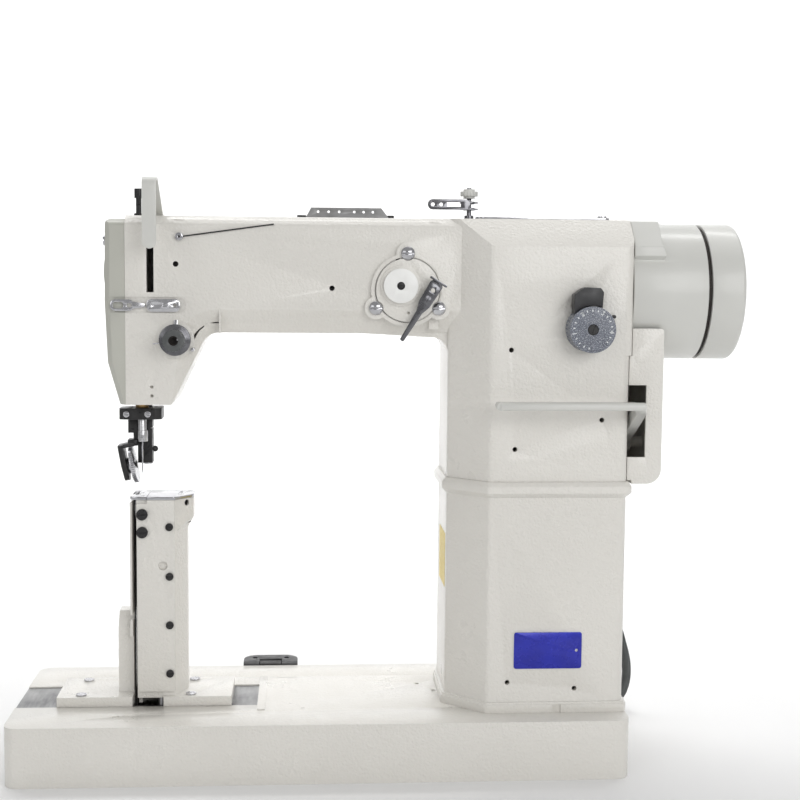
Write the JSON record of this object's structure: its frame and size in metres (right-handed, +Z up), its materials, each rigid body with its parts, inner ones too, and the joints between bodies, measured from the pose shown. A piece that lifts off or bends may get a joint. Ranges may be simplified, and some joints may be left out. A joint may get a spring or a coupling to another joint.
{
  "type": "post-bed sewing machine head",
  "caption": "Industrial post-bed sewing machine head for leather, with roller presser, stitch dial, bobbin winder and a direct-drive motor with handwheel.",
  "frame": {"origin": "centre of the bed's underside", "axes": "+X along the arm towards the motor, +Y from the sewer towards the back, +Z up"},
  "size_m": [0.6145, 0.3288, 0.4958],
  "materials": {
    "painted_casting": "textured enamel",
    "plastic_cover": "satin moulded plastic",
    "bright_steel": "polished",
    "ground_steel": "ground",
    "black_oxide": "blackened steel",
    "black_plastic": "moulded",
    "dial_grey": "speckled",
    "white_nylon": "satin",
    "plate_blue": "anodised",
    "bush_bronze": "machined",
    "belt_rubber": "moulded",
    "cable_grey": "matt"
  },
  "bodies": {
    "frame": {"bed_casting": "painted_casting", "lower_column": "painted_casting", "arm_casting": "painted_casting", "face_plate": "plastic_cover", "column_top_cover": "bright_steel", "rear_cover": "painted_casting", "belt_cover": "painted_casting", "motor_housing": "plastic_cover", "take_up_guard": "plastic_cover", "thread_guides": "bright_steel", "tension_post": "bright_steel", "tension_discs": "black_oxide", "top_thread_guide": "bright_steel", "winder_plate": "painted_casting", "chrome_screws": "bright_steel", "black_screws": "black_oxide", "winder_tension_guide": "bright_steel", "shaft_bushes": "bush_bronze", "presser_guide": "black_oxide", "presser_spring": "ground_steel", "post_casting": "painted_casting", "post_front_cover": "painted_casting", "post_side_plate": "painted_casting", "needle_plate": "bright_steel", "timing_belt": "belt_rubber", "feed_chain": "belt_rubber", "bobbin_case": "ground_steel", "nameplate": "plate_blue", "cable_gland": "black_plastic", "motor_cable": "cable_grey", "cable_coil": "cable_grey", "cable_connector": "black_plastic"},
    "drive_shaft": {"handwheel": "plastic_cover", "main_shaft": "ground_steel", "needle_crank": "ground_steel", "upper_pulley": "ground_steel"},
    "lower_drive": {"lower_shaft": "ground_steel", "lower_pulley": "ground_steel"},
    "hook_drive": {"hook_shaft": "ground_steel", "rotary_hook": "ground_steel"},
    "bobbin_spool": {"bobbin": "ground_steel"},
    "feed_roller": {"feed_wheel": "ground_steel"},
    "feed_drive": {"feed_shaft": "ground_steel"},
    "needle_carrier": {"needle_bar": "ground_steel", "needle": "bright_steel", "connecting_rod": "ground_steel"},
    "take_up": {"take_up_lever": "ground_steel"},
    "presser": {"presser_bar": "ground_steel", "roller_bracket": "black_oxide"},
    "roller": {"presser_roller": "bright_steel"},
    "pressure_adjuster": {"pressure_screw": "black_oxide"},
    "tension_adjuster": {"tension_knob": "black_oxide"},
    "winder_wheel": {"winder_disc": "white_nylon"},
    "winder_arm": {"winder_lever": "bright_steel"},
    "winder_adjuster": {"winder_nut": "plastic_cover"},
    "dial": {"stitch_dial": "dial_grey"},
    "dial_lock": {"push_lever": "black_plastic"},
    "reverse": {"reverse_lever": "plastic_cover"},
    "bobbin_cover": {"slide_plate": "bright_steel"},
    "hinges": {"bed_hinges": "black_plastic"}
  },
  "joints": [
    {"name": "handwheel_spin", "type": "hinge", "parent": "frame", "child": "drive_shaft", "pos_m": [0.3, 0, 0.406], "axis": [1, 0, 0], "continuous": true},
    {"name": "lower_shaft_spin", "type": "hinge", "parent": "frame", "child": "lower_drive", "pos_m": [0, -0.009, 0.024], "axis": [1, 0, 0], "continuous": true},
    {"name": "hook_spin", "type": "hinge", "parent": "frame", "child": "hook_drive", "pos_m": [-0.1368, -0.009, 0.15], "axis": [0, 0, 1], "continuous": true},
    {"name": "bobbin_spin", "type": "hinge", "parent": "frame", "child": "bobbin_spool", "pos_m": [-0.1368, -0.009, 0.218], "axis": [0, 0, 1], "continuous": true},
    {"name": "feed_wheel_spin", "type": "hinge", "parent": "frame", "child": "feed_roller", "pos_m": [-0.1582, -0.005, 0.218], "axis": [1, 0, 0], "continuous": true},
    {"name": "feed_shaft_spin", "type": "hinge", "parent": "frame", "child": "feed_drive", "pos_m": [0, -0.005, 0.009], "axis": [1, 0, 0], "continuous": true},
    {"name": "needle_bar_slide", "type": "slide", "parent": "frame", "child": "needle_carrier", "axis": [0, 0, 1], "range_m": [-0.03, 0]},
    {"name": "take_up_swing", "type": "hinge", "parent": "frame", "child": "take_up", "pos_m": [-0.1426, 0.025, 0.425], "axis": [1, 0, 0], "range_deg": [0, 45]},
    {"name": "presser_lift", "type": "slide", "parent": "frame", "child": "presser", "axis": [0, 0, 1], "range_m": [-0.0073, 0]},
    {"name": "roller_spin", "type": "hinge", "parent": "presser", "child": "roller", "pos_m": [-0.1604, -0.004, 0.254], "axis": [0.9816, 0, 0.1908], "continuous": true},
    {"name": "pressure_screw_turn", "type": "hinge", "parent": "frame", "child": "pressure_adjuster", "pos_m": [-0.156, 0.007, 0.475], "axis": [0, 0, 1], "range_deg": [-720, 720]},
    {"name": "tension_knob_turn", "type": "hinge", "parent": "frame", "child": "tension_adjuster", "pos_m": [-0.121, -0.06, 0.3635], "axis": [0, 1, 0], "range_deg": [-360, 360]},
    {"name": "winder_disc_spin", "type": "hinge", "parent": "frame", "child": "winder_wheel", "pos_m": [0.0652, -0.048, 0.4095], "axis": [0, 1, 0], "continuous": true},
    {"name": "winder_lever_swing", "type": "hinge", "parent": "frame", "child": "winder_arm", "pos_m": [0.0914, -0.052, 0.4059], "axis": [0, 1, 0], "range_deg": [-12, 12]},
    {"name": "winder_nut_turn", "type": "hinge", "parent": "frame", "child": "winder_adjuster", "pos_m": [0.127, 0, 0.488], "axis": [0, 0, 1], "range_deg": [-360, 360]},
    {"name": "dial_turn", "type": "hinge", "parent": "frame", "child": "dial", "pos_m": [0.2203, -0.07, 0.3753], "axis": [0, 1, 0], "range_deg": [-110, 110]},
    {"name": "dial_lock_push", "type": "slide", "parent": "frame", "child": "dial_lock", "axis": [0, 1, 0], "range_m": [0, 0.004], "stiffness_N_per_m": 300},
    {"name": "reverse_press", "type": "hinge", "parent": "frame", "child": "reverse", "pos_m": [0.264, 0, 0.274], "axis": [1, 0, 0], "range_deg": [0, 18], "stiffness_Nm_per_rad": 4, "springref_deg": -8.59},
    {"name": "bobbin_cover_slide", "type": "slide", "parent": "frame", "child": "bobbin_cover", "axis": [1, 0, 0], "range_m": [0, 0.025]},
    {"name": "bed_hinge_turn", "type": "hinge", "parent": "frame", "child": "hinges", "pos_m": [0.07, 0.097, 0.045], "axis": [1, 0, 0], "range_deg": [0, 60]}
  ],
  "couplings": [
    {"joint": "lower_shaft_spin", "follows": "handwheel_spin", "ratio": 1},
    {"joint": "hook_spin", "follows": "handwheel_spin", "ratio": -2},
    {"joint": "feed_wheel_spin", "follows": "handwheel_spin", "ratio": -0.0367},
    {"joint": "feed_shaft_spin", "follows": "handwheel_spin", "ratio": -0.0367}
  ]
}
